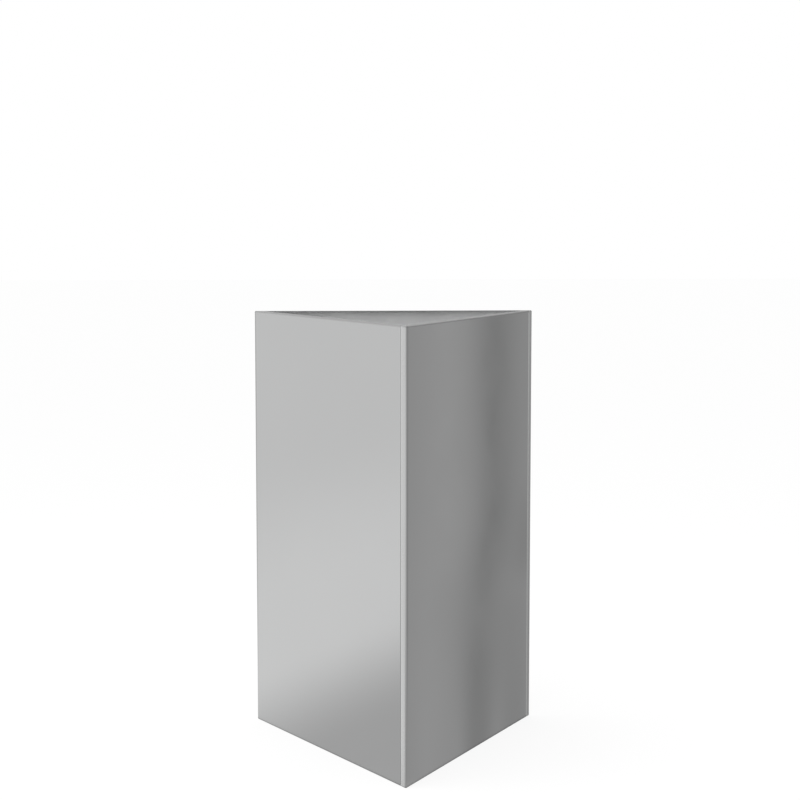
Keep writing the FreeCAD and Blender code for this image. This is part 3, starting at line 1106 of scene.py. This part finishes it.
def makeFloor():
    look = stageLook
    material, wires = newMaterial("floorPaint")
    paint = wires.add("ShaderNodeBsdfDiffuse", None, {"Color": (*look["floorColour"], 1)})
    white = wires.add("ShaderNodeEmission", None, {"Color": (1, 1, 1, 1), "Strength": 1.0})
    painted = wires.add("ShaderNodeEmission", None, {"Color": paintedFloor(wires)})
    seen = wires.add("ShaderNodeLightPath", out="Is Camera Ray")
    mirrored = seen.output("Is Glossy Ray")
    clear = footprintGap(*placeOn(wires)[:2]).between(*look["underReach"])
    share = seen * look["cameraWhite"] * clear
    plain = wires.add("ShaderNodeMixShader", None, {0: share, 1: paint, 2: white})
    closeMaterial(wires, wires.add("ShaderNodeMixShader", None, {0: mirrored, 1: plain, 2: painted}))
    half = look["floorSize"] / 2
    stageSheet("floor", [(-half, -half, 0), (half, -half, 0), (half, half, 0), (-half, half, 0)], material)


def makeCard():  # grey card behind on the right, a painted reflection seen only in the metal
    look = stageLook
    material, wires = newMaterial("cardPaint")
    closeMaterial(wires, wires.add("ShaderNodeEmission", None, {"Color": paintedFloor(wires)}))
    facing = Vector(look["cardFacing"])
    across = Vector((-facing.y, facing.x))
    centre = Vector(look["cardStart"]) + facing * look["cardDistance"]
    near, far = centre - across * look["cardHalf"], centre + across * look["cardHalf"]
    top = look["cardHeight"]
    spots = [upright(near, 0.0), upright(far, 0.0), upright(far, top), upright(near, top)]
    card = stageSheet("card", spots, material)
    card.visible_camera = False
    card.visible_diffuse = False
    card.visible_shadow = False
    card.visible_transmission = False


def makeWorld():
    look = stageLook
    world = bpy.data.worlds.new("studio")
    bpy.context.scene.world = world
    world.use_nodes = True
    world.node_tree.nodes.clear()
    wires = Wire(world.node_tree)
    mirrored = wires.add("ShaderNodeLightPath", out="Is Glossy Ray")
    through = wires.maths("MAXIMUM", mirrored, mirrored.output("Is Transmission Ray"))
    seen = wires.maths("MAXIMUM", through, mirrored.output("Is Camera Ray"))
    spot = wires.add("ShaderNodeTexCoord", out="Generated")
    sideways = wires.add("ShaderNodeSeparateXYZ", None, {0: spot})
    upward = sideways.output("Z")
    low = look["skyLeft"] - sideways.between(*look["skyTurn"]) * (look["skyLeft"] - look["skyRight"])
    pale = low + upward.between(*look["skyRise"]) * (look["skyHigh"] - low)
    pale = pale + upward.between(*look["skyOver"]) * look["skyTop"]
    level = 1 - mirrored * (1 - pale)
    white = wires.add("ShaderNodeBackground", None, {"Color": level, "Strength": 1.0})
    light = wires.add("ShaderNodeBackground", None, {"Color": (1, 1, 1, 1), "Strength": look["worldLight"]})
    mixed = wires.add("ShaderNodeMixShader", None, {0: seen, 1: light, 2: white})
    wires.add("ShaderNodeOutputWorld", None, {"Surface": mixed})


lampLook = {"place": (-0.8, -0.6, 2.6), "target": (0, 0, 0.2), "size": 2.0, "watts": 30}


def makeLamp():
    lamp = bpy.data.lights.new("overhead", "AREA")
    lamp.shape = "SQUARE"
    lamp.size = lampLook["size"]
    lamp.energy = lampLook["watts"]
    lampObject = newObject("overhead", lamp)
    lampObject.location = lampLook["place"]
    aim = Vector(lampLook["target"]) - Vector(lampLook["place"])
    lampObject.rotation_euler = aim.to_track_quat("-Z", "Y").to_euler()
    lampObject.visible_camera = False
    lampObject.visible_glossy = False


makeFloor()
makeCard()
makeWorld()
makeLamp()
print("stage set")

# camera fitted to the six visible corners
cameraFit = {"place": (-0.1551, -3.2287, 0.9466), "turn": 2.767, "pitch": 5.942, "lens": 86.02}
camera = bpy.data.cameras.new("camera")
camera.lens = cameraFit["lens"]
camera.sensor_width = 36
cameraObject = newObject("camera", camera)
cameraObject.location = cameraFit["place"]
cameraObject.rotation_euler = (math.radians(90 - cameraFit["pitch"]), 0, math.radians(-cameraFit["turn"]))
bpy.context.scene.camera = cameraObject
bpy.context.scene.view_settings.view_transform = "Standard"
print("camera placed")
